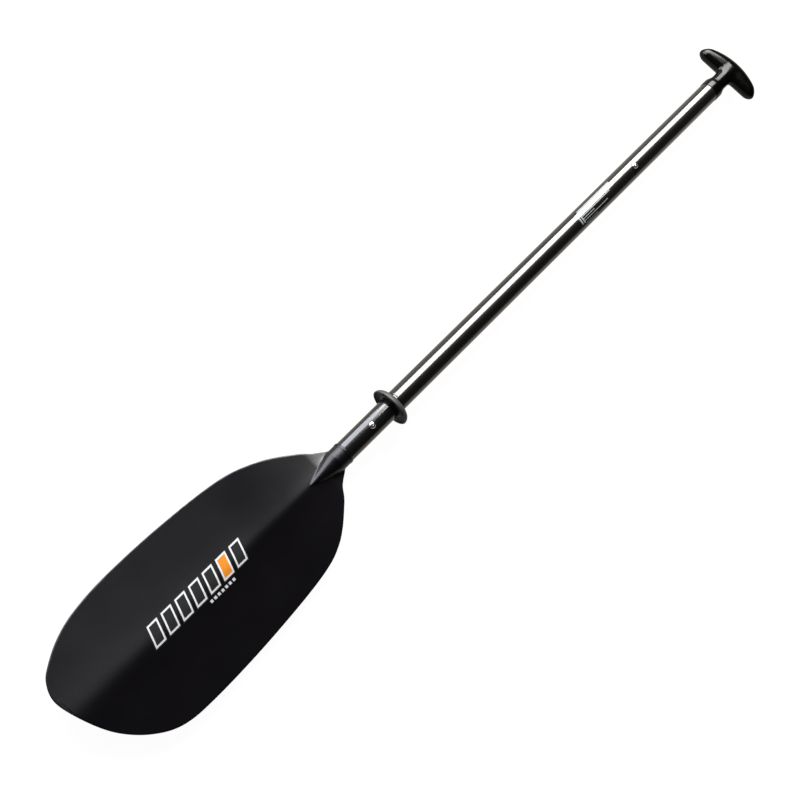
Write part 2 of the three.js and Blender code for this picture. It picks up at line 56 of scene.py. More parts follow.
MM = 0.001
blade_shaft_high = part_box("blade_shaft")[1]
main_low, main_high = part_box("main_shaft")
SEAM = Vector((
    blade_shaft_high.x,
    (main_low.y + main_high.y) / 2,
    (main_low.z + main_high.z) / 2,
))


def along(node, end):
    """Distance of a CAD node's lower (0) or upper (1) end from the seam, in millimetres."""
    return (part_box(node)[end].x - SEAM.x) / MM


def middle(node):
    """Distance of a CAD node's middle from the seam, in millimetres."""
    low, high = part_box(node)
    return ((low.x + high.x) / 2 - SEAM.x) / MM


def to_metres(points):
    """Places in the frame, in metres, of points drawn from the seam."""
    return np.asarray(points, float) * MM + np.array(SEAM)


FIT_GAP = 0.15
PART_GAP = 0.3
SHAFT_RADIUS = (main_high.z - main_low.z) / 2 / MM
SHAFT_WALL = 1.7
FERRULE_WALL = 1.7
GRIP_TUBE_WALL = 1.5
TUBE_BORE = SHAFT_RADIUS - SHAFT_WALL
FERRULE_RADIUS = TUBE_BORE - FIT_GAP
FERRULE_BORE = FERRULE_RADIUS - FERRULE_WALL
GRIP_TUBE_BORE = FERRULE_RADIUS - GRIP_TUBE_WALL
LIP_X = along("blade_shaft", 0) - PART_GAP
COLLAR_X = along("main_shaft", 1) + PART_GAP
BUTTON_RADIUS = 4.5
BUTTON_HOLE_RADIUS = BUTTON_RADIUS + 0.25
LOWER_BUTTON_X = middle("lower_button")
UPPER_BUTTON_X = middle("upper_button")

# ---------- mesh tools ----------

NEARLY_STRAIGHT = -0.985
FILLET_SHARE = 0.45
SHARP_DEGREES = 32


def fillet(points, radius, steps=4):
    """A line of points with each inner corner rounded, as far as its neighbours leave room."""
    points = [np.array(p, float) for p in points]
    out = [points[0]]
    for before, corner, after in zip(points, points[1:], points[2:]):
        a, b = before - corner, after - corner
        la, lb = np.linalg.norm(a), np.linalg.norm(b)
        cosine = float(np.clip(a @ b / (la * lb), -1, 1))
        if cosine < NEARLY_STRAIGHT:
            out.append(corner)
            continue
        half = math.acos(cosine) / 2
        reach = min(radius / math.tan(half), FILLET_SHARE * la, FILLET_SHARE * lb)
        start, end = corner + a / la * reach, corner + b / lb * reach
        for i in range(steps + 1):
            t = i / steps
            out.append((1 - t) ** 2 * start + 2 * t * (1 - t) * corner + t * t * end)
    out.append(points[-1])
    return [tuple(p) for p in out]


def turned(profile, steps=96, axis="x"):
    """Points and faces of a profile of [along, radius] turned about the axis."""
    points, rings = [], []
    for a, r in profile:
        count = 1 if r < 1e-6 else steps
        rings.append((len(points), count))
        for k in range(count):
            turn = 2 * math.pi * k / steps
            s, c = r * math.sin(turn), r * math.cos(turn)
            points.append((a, s, c) if axis == "x" else (c, s, a))
    faces = []
    for (a, na), (b, nb) in zip(rings, rings[1:]):
        for k in range(steps):
            n = (k + 1) % steps
            quad = (a + k % na, a + n % na, b + n % nb, b + k % nb)
            quad = tuple(dict.fromkeys(quad))
            if len(quad) > 2:
                faces.append(quad)
    return points, faces


def turned_upright(profile, x):
    """Points and faces of a profile of [height, radius] turned about a vertical axis at x."""
    points, faces = turned(profile, 64, "z")
    return [(px + x, py, pz) for px, py, pz in points], faces


def grid_faces(rows, columns):
    return [
        (r * columns + c, r * columns + c + 1, (r + 1) * columns + c + 1, (r + 1) * columns + c)
        for r in range(rows - 1)
        for c in range(columns - 1)
    ]


def joined(*shells):
    """Several shells of (points, faces) as one."""
    points, faces = [], []
    for shell_points, shell_faces in shells:
        start = len(points)
        points.extend(tuple(p) for p in shell_points)
        faces.extend(tuple(i + start for i in f) for f in shell_faces)
    return points, faces


def mesh_object(name, shell, sharp_degrees=SHARP_DEGREES):
    points, faces = shell
    mesh = bpy.data.meshes.new(name)
    mesh.from_pydata(to_metres(points).tolist(), [], faces)
    work = bmesh.new()
    work.from_mesh(mesh)
    bmesh.ops.remove_doubles(work, verts=work.verts, dist=1e-7)
    bmesh.ops.recalc_face_normals(work, faces=work.faces)
    work.to_mesh(mesh)
    work.free()
    smooth(mesh, sharp_degrees)
    obj = bpy.data.objects.new(name, mesh)
    bpy.context.scene.collection.objects.link(obj)
    return obj


def smooth(mesh, sharp_degrees=SHARP_DEGREES):
    mesh.polygons.foreach_set("use_smooth", [True] * len(mesh.polygons))
    mesh.set_sharp_from_angle(angle=math.radians(sharp_degrees))
    mesh.update()


def apply_modifiers(obj):
    evaluated = obj.evaluated_get(bpy.context.evaluated_depsgraph_get())
    mesh = bpy.data.meshes.new_from_object(evaluated)
    obj.modifiers.clear()
    obj.data = mesh


def cut_button_hole(obj, x):
    """A round hole for a snap button through the upper wall only."""
    low, high = 4, 2 * SHAFT_RADIUS
    profile = [(low, 0), (low, BUTTON_HOLE_RADIUS), (high, BUTTON_HOLE_RADIUS), (high, 0)]
    cutter = mesh_object("hole_cutter", turned_upright(profile, x))
    cut = obj.modifiers.new("hole", "BOOLEAN")
    cut.operation = "DIFFERENCE"
    cut.solver = "EXACT"
    cut.object = cutter
    apply_modifiers(obj)
    smooth(obj.data)
    bpy.data.objects.remove(cutter)


def finish_piece(obj, node, body, material):
    obj.data.materials.clear()
    obj.data.materials.append(material)
    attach(obj, body)
    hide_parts(node)


# ---------- materials ----------


class Shader:
    """A material made from nodes, one value at a time. Points are in millimetres from the seam."""

    def __init__(self, name):
        self.material = bpy.data.materials.new(name)
        self.material.use_nodes = True
        self.tree = self.material.node_tree
        self.bsdf = self.tree.nodes["Principled BSDF"]

    def node(self, kind, inputs=(), output=0, **settings):
        node = self.tree.nodes.new(kind)
        for key, value in settings.items():
            setattr(node, key, value)
        for key, value in dict(inputs).items():
            self.set(node.inputs[key], value)
        return node.outputs[output]

    def set(self, socket, value):
        if isinstance(value, bpy.types.NodeSocket):
            self.tree.links.new(value, socket)
        elif socket.type == "RGBA" and len(value) == 3:
            socket.default_value = (*value, 1)
        else:
            socket.default_value = value

    def surface(self, **inputs):
        for key, value in inputs.items():
            self.set(self.bsdf.inputs[key.replace("_", " ")], value)

    def math(self, operation, *values, clamp=False):
        return self.node(
            "ShaderNodeMath", enumerate(values), operation=operation, use_clamp=clamp
        )

    def vector(self, operation, a, b):
        return self.node("ShaderNodeVectorMath", {0: a, 1: b}, operation=operation)

    def millimetres(self):
        place = self.node("ShaderNodeTexCoord", output="Object")
        moved = self.vector("SUBTRACT", place, tuple(SEAM))
        return self.vector("MULTIPLY", moved, (1000, 1000, 1000))

    def split(self, vector):
        node = self.tree.nodes.new("ShaderNodeSeparateXYZ")
        self.set(node.inputs[0], vector)
        return node.outputs

    def ramp(self, value, low, high, to_low=0.0, to_high=1.0):
        return self.node(
            "ShaderNodeMapRange",
            {0: value, 1: low, 2: high, 3: to_low, 4: to_high},
        )

    def noise(self, place, scale, stretch=(1, 1, 1), detail=3.0, rough=0.55):
        stretched = self.vector("MULTIPLY", place, tuple(scale * s for s in stretch))
        return self.node(
            "ShaderNodeTexNoise",
            {"Vector": stretched, "Scale": 1.0, "Detail": detail, "Roughness": rough},
            output="Fac",
        )

    def mix(self, share, a, b):
        node = self.tree.nodes.new("ShaderNodeMix")
        node.data_type = "RGBA"
        for socket, value in zip((node.inputs[0], node.inputs[6], node.inputs[7]), (share, a, b)):
            self.set(socket, value)
        return node.outputs[2]

    def bump(self, height, distance):
        """Height is from 0 to 1 and distance is in millimetres."""
        inputs = {"Height": height, "Distance": distance * MM, "Strength": 1.0}
        return self.node("ShaderNodeBump", inputs)

    def band(self, value, low, high, soft=0.1):
        """1 where value is between low and high, with soft edges."""
        rising = self.ramp(value, low - soft, low + soft)
        falling = self.ramp(value, high + soft, high - soft)
        return self.math("MULTIPLY", rising, falling)

    def either(self, *masks):
        """1 where any mask is 1."""
        total = masks[0]
        for mask in masks[1:]:
            total = self.math("MAXIMUM", total, mask)
        return total

    def all_of(self, *masks):
        """1 where every mask is 1."""
        total = masks[0]
        for mask in masks[1:]:
            total = self.math("MULTIPLY", total, mask)
        return total


def blade_material():
    s = Shader("Moulded Blade Nylon")
    place = s.millimetres()
    x, y, _ = s.split(place)
    grain = s.noise(place, 1.9, detail=4.0)
    cloud = s.noise(place, 0.018, (1, 1.6, 1), detail=2.0)
    flow = s.noise(place, 0.35, (0.12, 1, 1), detail=3.0)
    colour = s.mix(cloud, (0.00080, 0.00045, 0.00118), (0.00105, 0.00070, 0.00145))
    ink_share, print_share, orange_share = blade_graphic(s, x, y)
    colour = s.mix(ink_share, colour, (0.0002, 0.0002, 0.0002))
    colour = s.mix(print_share, colour, (0.36, 0.36, 0.36))
    colour = s.mix(orange_share, colour, (0.37, 0.118, 0.0022))
    matt = s.ramp(cloud, 0.3, 0.7, 0.295, 0.315)
    rough = s.math("ADD", matt, s.ramp(grain, 0.3, 0.7, -0.02, 0.02))
    rough = s.math("MAXIMUM", rough, s.math("MULTIPLY", ink_share, 0.85))
    height = s.math("ADD", s.math("MULTIPLY", grain, 0.8), s.math("MULTIPLY", flow, 0.5))
    s.surface(
        Base_Color=colour,
        Roughness=rough,
        Normal=s.bump(height, 0.02),
        Specular_IOR_Level=0.30,
        IOR=1.48,
    )
    return s.material


# Generic decal on the power face: a row of slanted outlined bars, one of them orange
DECAL_FROM = -414.0
DECAL_PITCH = 22.0
DECAL_BARS = 7
DECAL_ORANGE_BAR = 5
DECAL_MIDDLE_Y = 4.0
DECAL_SLANT = 0.36
BAR_FROM, BAR_TO = 2.0, 18.0
BAR_HALF_HEIGHT = 13.0
BAR_LINE = 2.2
INK_MARGIN = 1.4

# The row of dashes under the bars
DASH_PITCH = 6.0
DASH_FROM, DASH_TO = 1.0, 4.6
DASH_LOW, DASH_HIGH = -20.5, -17.0
DASH_ROW_FROM, DASH_ROW_TO = -336.0, -294.0


def bar_area(s, place, up, margin, start=0.0):
    """1 inside a bar that is larger by margin on every side."""
    half_height = BAR_HALF_HEIGHT + margin
    return s.all_of(
        s.band(place, start + BAR_FROM - margin, start + BAR_TO + margin),
        s.band(up, -half_height, half_height),
    )


def blade_graphic(s, x, y):
    """Share of black ink, of white and of orange at each place on the blade."""
    up = s.math("SUBTRACT", y, DECAL_MIDDLE_Y)
    slanted = s.math("SUBTRACT", x, s.math("MULTIPLY", up, DECAL_SLANT))
    step = s.math("SUBTRACT", slanted, DECAL_FROM)
    within = s.math("MODULO", step, DECAL_PITCH)
    in_row = s.band(step, 0.0, DECAL_BARS * DECAL_PITCH)
    bar = s.all_of(bar_area(s, within, up, 0.0), in_row)
    core = s.all_of(bar_area(s, within, up, -BAR_LINE), in_row)
    outline = s.math("SUBTRACT", bar, core, clamp=True)
    orange_from = DECAL_FROM + DECAL_ORANGE_BAR * DECAL_PITCH
    orange = bar_area(s, slanted, up, -BAR_LINE, orange_from)
    ink = s.all_of(bar_area(s, within, up, INK_MARGIN), in_row)
    dash = s.math("MODULO", s.math("SUBTRACT", x, DECAL_FROM), DASH_PITCH)
    dashes = s.all_of(
        s.band(dash, DASH_FROM, DASH_TO),
        s.band(up, DASH_LOW, DASH_HIGH),
        s.band(x, DASH_ROW_FROM, DASH_ROW_TO),
    )
    upwards = s.split(s.node("ShaderNodeNewGeometry", output="Normal"))[2]
    face = s.ramp(upwards, 0.1, 0.3)
    return s.all_of(ink, face), s.all_of(s.either(outline, dashes), face), s.all_of(orange, face)


def gloss_material():
    s = Shader("Gloss Carbon Shaft")
    place = s.millimetres()
    x, y, z = s.split(place)
    fibre = s.noise(place, 1.4, (0.02, 1, 1), detail=3.0)
    scuff = s.noise(place, 0.05, (0.4, 1, 1), detail=5.0, rough=0.7)
    colour = s.mix(s.ramp(fibre, 0.35, 0.7), (0.0007, 0.0005, 0.0004), (0.0014, 0.0011, 0.0008))
    label = shaft_label(s, x, y, z)
    colour = s.mix(label, colour, (0.15, 0.16, 0.16))
    s.surface(
        Base_Color=colour,
        Roughness=s.ramp(scuff, 0.3, 0.8, 0.34, 0.46),
        Normal=s.bump(s.math("ADD", fibre, s.math("MULTIPLY", label, 0.6)), 0.012),
        Specular_IOR_Level=0.14,
        IOR=1.52,
        Coat_Weight=1.0,
        Coat_Roughness=0.10,
        Coat_IOR=1.5,
    )
    return s.material


# Generic print on the shaft: two short rings and a block of lines of several lengths. Each mark is
# (start, end, lowest turn, highest turn), in millimetres along the shaft and degrees about it.
LABEL_RINGS = ((356.2, 358.4, -33.0, 36.0), (360.2, 362.4, -35.0, 36.0))
LABEL_LINES = (
    (363.0, 430.0, 38.0, 46.0), (363.0, 430.0, 28.0, 36.0), (363.0, 430.0, 18.0, 26.0),
    (363.0, 430.0, 9.0, 16.0), (363.0, 421.0, 0.5, 6.0), (362.5, 385.0, -12.5, -9.0),
    (362.0, 411.0, -25.5, -21.5), (363.5, 388.0, -41.0, -38.0),
)


def shaft_label(s, x, y, z):
    """Share of print at each place on the shaft."""
    turn = s.math("MULTIPLY", s.math("ARCTAN2", y, z), 180 / math.pi)
    masks = []
    for marks, soft in ((LABEL_RINGS, 1.0), (LABEL_LINES, 0.5)):
        for start, end, low, high in marks:
            masks.append(s.all_of(s.band(x, start, end), s.band(turn, low, high, soft)))
    return s.either(*masks)


def satin_material():
    s = Shader("Satin Carbon Tube")
    place = s.millimetres()
    fibre = s.noise(place, 0.45, (0.02, 1, 1), detail=3.0)
    wide = s.noise(place, 0.25, (0.02, 1, 1), detail=2.0)
    grain = s.noise(place, 2.2, detail=3.0)
    colour = s.mix(fibre, (0.0010, 0.0010, 0.0011), (0.0024, 0.0024, 0.0026))
    matt = s.ramp(wide, 0.3, 0.7, 0.26, 0.36)
    s.surface(
        Base_Color=colour,
        Roughness=s.math("ADD", matt, s.ramp(fibre, 0.3, 0.7, -0.05, 0.05)),
        Normal=s.bump(s.math("ADD", fibre, s.math("MULTIPLY", grain, 0.1)), 0.012),
        Specular_IOR_Level=0.10,
        IOR=1.5,
        Coat_Weight=s.ramp(fibre, 0.25, 0.65, 0.75, 1.0),
        Coat_Roughness=0.11,
        Coat_IOR=1.5,
    )
    return s.material


def rubber_material():
    s = Shader("Drip Ring Rubber")
    place = s.millimetres()
    grain = s.noise(place, 1.6, detail=4.0)
    cloud = s.noise(place, 0.08, detail=3.0)
    colour = s.mix(cloud, (0.0095, 0.0095, 0.0108), (0.0135, 0.0135, 0.0150))
    s.surface(
        Base_Color=colour,
        Roughness=s.ramp(cloud, 0.3, 0.7, 0.52, 0.66),
        Normal=s.bump(grain, 0.03),
        IOR=1.5,
    )
    return s.material


def grip_material():
    s = Shader("Gloss Grip Plastic")
    place = s.millimetres()
    peel = s.noise(place, 0.12, detail=2.0)
    scuff = s.noise(place, 0.15, detail=2.0)
    colour = s.mix(peel, (0.0002, 0.0002, 0.0002), (0.0004, 0.0004, 0.0004))
    s.surface(
        Base_Color=colour,
        Roughness=s.ramp(scuff, 0.3, 0.7, 0.16, 0.21),
        Normal=s.bump(s.math("ADD", peel, s.math("MULTIPLY", scuff, 0.04)), 0.05),
        Specular_IOR_Level=0.19,
        IOR=1.5,
    )
    return s.material


def steel_material(name, colour, roughness, brush):
    s = Shader(name)
    place = s.millimetres()
    lines = s.noise(place, 3.0, brush, detail=3.0)
    cloud = s.noise(place, 0.7, detail=3.0)
    dark = tuple(0.8 * c for c in colour)
    s.surface(
        Base_Color=s.mix(cloud, dark, colour),
        Metallic=1.0,
        Roughness=s.ramp(lines, 0.3, 0.7, roughness - 0.05, roughness + 0.07),
        Normal=s.bump(lines, 0.008),
    )
    return s.material


WEAVE_PITCH = 1.4


def insert_material():
    s = Shader("Woven Glass Insert")
    place = s.millimetres()
    x, y, z = s.split(place)
    turn = s.math("MULTIPLY", s.math("ARCTAN2", y, z), FERRULE_RADIUS)
    warp = s.math("SINE", s.math("MULTIPLY", s.math("ADD", x, turn), math.pi / WEAVE_PITCH))
    weft = s.math("SINE", s.math("MULTIPLY", s.math("SUBTRACT", x, turn), math.pi / WEAVE_PITCH))
    weave = s.ramp(s.math("MULTIPLY", warp, weft), -1.0, 1.0)
    cloud = s.noise(place, 0.1, detail=3.0)
    colour = s.mix(weave, (0.0050, 0.0053, 0.0058), (0.0130, 0.0135, 0.0142))
    colour = s.mix(s.ramp(cloud, 0.3, 0.7, 0.0, 0.35), colour, (0.007, 0.007, 0.007))
    s.surface(
        Base_Color=colour,
        Roughness=s.ramp(cloud, 0.3, 0.7, 0.30, 0.42),
        Normal=s.bump(weave, 0.03),
        IOR=1.52,
    )
    return s.material


def foam_material():
    s = Shader("Closed Cell Foam")
    place = s.millimetres()
    cells = s.node("ShaderNodeTexVoronoi", {"Vector": place, "Scale": 1.6}, output="Distance")
    cloud = s.noise(place, 0.4, detail=3.0)
    s.surface(
        Base_Color=s.mix(cloud, (0.030, 0.032, 0.030), (0.050, 0.052, 0.048)),
        Roughness=s.ramp(cells, 0.0, 0.8, 0.95, 0.75),
        Normal=s.bump(cells, 0.15),
    )
    return s.material


# ---------- blade ----------

BLADE_LENGTH = 442.0
BLADE_LEFT = 92.4
BLADE_RIGHT = 97.2
NECK_RADIUS = SHAFT_RADIUS + 0.5
NECK_LENGTH = 17.0
LIP_RADIUS = SHAFT_RADIUS + 0.9
LIP_LENGTH = 3.6
FACE_SPINE_LENGTH = 68.0
FACE_SPINE_POWER = 1.1
BACK_SPINE_LENGTH = 235.0
BACK_SPINE_POWER = 2
FACE_RISE = 5.0
FACE_RISE_FROM = 8.0
FACE_RISE_TO = 40.0
SPINE_SINK = 1.5
SPOON_DEPTH = 9.0
TIP_LIFT = 5.0
FLANK_SLOPE = math.tan(math.radians(4))
RIDGE_SLOPE = math.tan(math.radians(9))
RIDGE_ROUND_AT_THROAT = 2.0
RIDGE_ROUND_AT_TIP = 12.0
RIDGE_REACH_AT_THROAT = 12.0
RIDGE_REACH_AT_TIP = 36.0
CORE_THICKNESS = 6.0
EDGE_THICKNESS = 2.6
THROAT_BLEND = 2.4
EDGE_ROUND = 1.5
TIP_SIDE_STEP = 0.30
TIP_FROM = 0.74
INSIDE_CAD_OUTLINE = 0.9994
FOOT_ON_AXIS = 0.45
FOOT_OFF_AXIS = 0.2
FOOT_AT_NECK = 0.93
FOOT_LEAST = 0.1
SPIGOT_LENGTH = 30.0
SPIGOT_BORE = 7.5
SPIGOT_DEPTH = 20.0
SPIGOT_CONE_DEPTH = 27.0

# Each side's outline, as (share of the length, share of that side's half width)
LEFT_OUTLINE = (
    (0.016, 0.10), (0.034, 0.178), (0.068, 0.287), (0.102, 0.43), (0.186, 0.69),
    (0.30, 0.885), (0.50, 0.982), (0.69, 1.0), (0.81, 0.95), (0.885, 0.85),
    (0.945, 0.70), (0.982, 0.55),
)
RIGHT_OUTLINE = (
    (0.016, 0.095), (0.034, 0.172), (0.068, 0.279), (0.102, 0.459), (0.186, 0.757),
    (0.29, 0.90), (0.50, 0.983), (0.70, 1.0), (0.81, 0.948), (0.885, 0.757),
    (0.945, 0.45), (0.982, 0.08),
)


def spline(points, samples):
    """A smooth line through all the points, with its tangents from their neighbours."""
    points = np.array(points, float)
    last = len(points) - 1
    out = []
    for t in np.linspace(0, last, samples + 1):
        i = min(int(t), last - 1)
        w = t - i
        p0, p1, p2 = points[max(i - 1, 0)], points[i], points[i + 1]
        p3 = points[min(i + 2, last)]
        v0, v1 = (p2 - p0) / 2, (p3 - p1) / 2
        cubic = 2 * p1 - 2 * p2 + v0 + v1
        square = -3 * p1 + 3 * p2 - 2 * v0 - v1
        out.append(cubic * w**3 + square * w**2 + v0 * w + p1)
    return np.array(out)


def blade_outline():
    """The whole outline as rows of [distance from the lip, side], and its left and right sides."""
    left = [(u * BLADE_LENGTH, y * BLADE_LEFT) for u, y in LEFT_OUTLINE]
    right = [(u * BLADE_LENGTH, -y * BLADE_RIGHT) for u, y in RIGHT_OUTLINE]
    line = spline([*left, (BLADE_LENGTH, TIP_SIDE_STEP * BLADE_LEFT), *right[::-1]], 1600)
    line *= INSIDE_CAD_OUTLINE
    tip = int(np.argmax(line[:, 0]))
    return line, line[: tip + 1], line[tip:][::-1]


OUTLINE, LEFT_SIDE, RIGHT_SIDE = blade_outline()
TIP_U = float(OUTLINE[:, 0].max())


def smoothstep(x, low, high):
    t = np.clip((x - low) / (high - low), 0, 1)
    return t * t * (3 - 2 * t)


def smooth_max(a, b, width):
    return 0.5 * (a + b + np.hypot(a - b, width))


def ridge_height(u):
    """Height of the power face along its middle line: it leaves the neck, dips and lifts to the tip."""
    share = np.clip((u - FACE_RISE_TO) / (BLADE_LENGTH - FACE_RISE_TO), 0, 1)
    rise = FACE_RISE * smoothstep(u, FACE_RISE_FROM, FACE_RISE_TO)
    dip = np.sin(np.pi * share) * smoothstep(share, 0, 0.3)
    return rise - SPOON_DEPTH * dip + TIP_LIFT * share**3


def web_top(u, y):
    """The flanks are steeper beside the ridge and flatten towards the blade's edges."""
    share = u / BLADE_LENGTH
    width = RIDGE_ROUND_AT_THROAT + (RIDGE_ROUND_AT_TIP - RIDGE_ROUND_AT_THROAT) * share
    reach = RIDGE_REACH_AT_THROAT + (RIDGE_REACH_AT_TIP - RIDGE_REACH_AT_THROAT) * share
    away = np.hypot(y, width) - width
    return ridge_height(u) - FLANK_SLOPE * away - RIDGE_SLOPE * reach * (1 - np.exp(-away / reach))


def spine(y, half_width, crown):
    """An arch over the middle line, falling away steeply beside it."""
    share = np.abs(y) / half_width
    dome = crown * np.sqrt(np.clip(1 - share * share, 0, None))
    return np.where(share < 1, dome, 2 * half_width * (1 - share))


def with_spine(flat, u, y, length, power, end):
    """A sheet with the spine that leads into it from the round neck."""
    share = np.clip((u - NECK_LENGTH) / (length - NECK_LENGTH), 0, 1)
    short = np.minimum(share, 0.999)
    crown = NECK_RADIUS + (end - SPINE_SINK - NECK_RADIUS) * short
    dome = spine(y, NECK_RADIUS * (1 - short**power), crown)
    blend = THROAT_BLEND * np.minimum(1, short * 5) * (1 - short * short)
    return np.where(share < 1, smooth_max(flat, dome, blend), flat)


def face_height(u, y):
    return with_spine(web_top(u, y), u, y, FACE_SPINE_LENGTH, FACE_SPINE_POWER, ridge_height(u))


def back_height(u, y, q):
    thickness = EDGE_THICKNESS + (CORE_THICKNESS - EDGE_THICKNESS) * (1 - q * q)
    keel = web_top(u, 0 * y) - CORE_THICKNESS
    return -with_spine(thickness - web_top(u, y), u, y, BACK_SPINE_LENGTH, BACK_SPINE_POWER, -keel)


def blade_stations():
    """Distances from the lip at which the blade has a section, closer together towards its tip."""
    tip_start = TIP_FROM * TIP_U
    throat = np.linspace(LIP_LENGTH / 2, FACE_SPINE_LENGTH, 120, endpoint=False)
    body = np.linspace(FACE_SPINE_LENGTH, tip_start, 70, endpoint=False)
    to_tip = np.linspace(1, 0, 64) ** 2
    tip = TIP_U - 0.004 - to_tip * (TIP_U - tip_start)
    return np.concatenate([throat, body, tip])


def eased(count):
    return 0.5 * (1 - np.cos(np.pi * np.linspace(0, 1, count)))


def across(left, right, foot):
    """Places across a section, with lines of the mesh along both feet of the spine."""
    inner = np.linspace(-foot, foot, 25)
    outer = eased(44)[1:]
    return np.concatenate([
        (foot + (left - foot) * outer)[::-1],
        inner[::-1],
        -foot + (right + foot) * outer,
    ])


def edge_distance(u, y, batch=4000):
    """Distance of each point from the blade's outline, seen from above."""
    line = OUTLINE[::2]
    out = np.empty(len(u))
    for start in range(0, len(u), batch):
        stop = start + batch
        du = u[start:stop, None] - line[None, :, 0]
        dy = y[start:stop, None] - line[None, :, 1]
        out[start:stop] = np.sqrt((du * du + dy * dy).min(1))
    return out


def section_sides(u):
    """Left and right edge of the section at u, which is never narrower than the neck beside it."""
    left = float(np.interp(u, LEFT_SIDE[:, 0], LEFT_SIDE[:, 1]))
    right = float(np.interp(u, RIGHT_SIDE[:, 0], RIGHT_SIDE[:, 1]))
    if u < 2 * NECK_LENGTH:
        left, right = max(left, NECK_RADIUS), min(right, -NECK_RADIUS)
    return left, right


def section_places(u, spine_length, power):
    """Places across the section at u, from left to right, for a sheet with this spine."""
    left, right = section_sides(u)
    on_axis = right < 0 < left
    share = min(max((u - NECK_LENGTH) / (spine_length - NECK_LENGTH), 0), 1)
    foot = NECK_RADIUS * (1 - share**power)
    width = left - right
    narrow = FOOT_ON_AXIS * min(left, -right) if on_axis else FOOT_OFF_AXIS * width
    widest = max(narrow, min(foot, FOOT_AT_NECK * NECK_RADIUS))
    foot = min(math.hypot(foot, FOOT_LEAST * width), widest)
    middle_y = 0 if on_axis else (left + right) / 2
    return across(left - middle_y, right - middle_y, foot) + middle_y


def edge_fullness(u, y, q):
    """1 where the blade has its full thickness, falling round to 0 at its edge."""
    depth = np.clip(edge_distance(u, y) / EDGE_ROUND, 0, 1)
    full = np.sqrt(np.clip(1 - (1 - depth) ** 2, 0, 1))
    past_neck = smoothstep(u, NECK_LENGTH * 0.5, 2 * NECK_LENGTH)
    on_edge = (np.abs(q) > 1 - 1e-9) | (u > TIP_U - 0.01)
    return np.where(on_edge, 0, 1 - (1 - full) * past_neck)


def blade_sheet(stations, spine_length, power, is_face):
    """The face or the back. Its q runs from -1 at the right edge to 1 at the left edge."""
    sections = [section_places(u, spine_length, power) for u in stations]
    columns = len(sections[0])
    u, y = np.repeat(stations, columns), np.concatenate(sections)
    low = np.repeat([section[-1] for section in sections], columns)
    high = np.repeat([section[0] for section in sections], columns)
    q = (2 * y - low - high) / (high - low)
    top, bottom = face_height(u, y), back_height(u, y, q)
    centre = (top + bottom) / 2
    z = centre + ((top if is_face else bottom) - centre) * edge_fullness(u, y, q)
    return np.column_stack([LIP_X - u, y, z]), grid_faces(len(stations), columns)


def blade_body():
    """The blade as two sheets, face and back, that meet along a rounded edge."""
    stations = blade_stations()
    return joined(
        blade_sheet(stations, FACE_SPINE_LENGTH, FACE_SPINE_POWER, True),
        blade_sheet(stations, BACK_SPINE_LENGTH, BACK_SPINE_POWER, False),
    )


def blade_socket():
    """The lip round the tube's end, and the hollow spigot inside it."""
    spigot_radius = TUBE_BORE - FIT_GAP
    core = NECK_RADIUS - 1
    profile = fillet([
        (LIP_X - 2 * LIP_LENGTH, 0), (LIP_X - 2 * LIP_LENGTH, core),
        (LIP_X - LIP_LENGTH, core), (LIP_X - LIP_LENGTH, LIP_RADIUS),
        (LIP_X, LIP_RADIUS), (LIP_X, spigot_radius),
        (LIP_X + SPIGOT_LENGTH, spigot_radius), (LIP_X + SPIGOT_LENGTH, SPIGOT_BORE),
        (LIP_X - SPIGOT_DEPTH, SPIGOT_BORE), (LIP_X - SPIGOT_CONE_DEPTH, 0),
    ], 0.5)
    return turned(profile, 128)


# ---------- tubes, plugs, buttons and springs ----------


def tube_shell(x0, x1, outer, bore, hole):
    """A tube with eased ends. Rings of points along its wall keep its reflections straight."""
    ends = fillet([(x0, bore), (x0, outer), (x1, outer), (x1, bore)], 0.35, 3)
    wall = [x for x in np.linspace(x0 + 1, x1 - 1, 14) if abs(x - hole) > 10]
    wall += list(np.linspace(hole - 9, hole + 9, 19))
    half = len(ends) // 2
    profile = ends[:half] + [(x, outer) for x in sorted(wall)] + ends[half:] + [ends[0]]
    return turned(profile, 128)


def tube_piece(name, bore, body, material, hole):
    low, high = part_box(name)
    outer = (high.z - low.z) / 2 / MM
    obj = mesh_object(name + "_fine", tube_shell(along(name, 0), along(name, 1), outer, bore, hole))
    cut_button_hole(obj, hole)
    finish_piece(obj, name, body, material)


def plug_piece(name, bore, body, material):
    x0, x1 = along(name, 0), along(name, 1)
    radius = bore - FIT_GAP
    profile = fillet([(x0, 0), (x0, radius), (x1, radius), (x1, 0)], 0.4)
    obj = mesh_object(name + "_fine", turned(profile, 64))
    finish_piece(obj, name, body, material)


BUTTON_STAND = 3.0
BUTTON_DOME = 2.4
FLANGE_RADIUS = 5.6
FLANGE_THICKNESS = 1.2
DIMPLE_RADIUS = 1.3

# The dimple's wall, as (depth below the crown, radius)
DIMPLE = ((0.15, 1.2), (0.5, 1.05), (2.0, 0.95), (2.1, 0))


def flange_top(bore):
    """Height at which a button's flange stops against the inside of its tube."""
    return math.sqrt(bore**2 - FLANGE_RADIUS**2) - PART_GAP


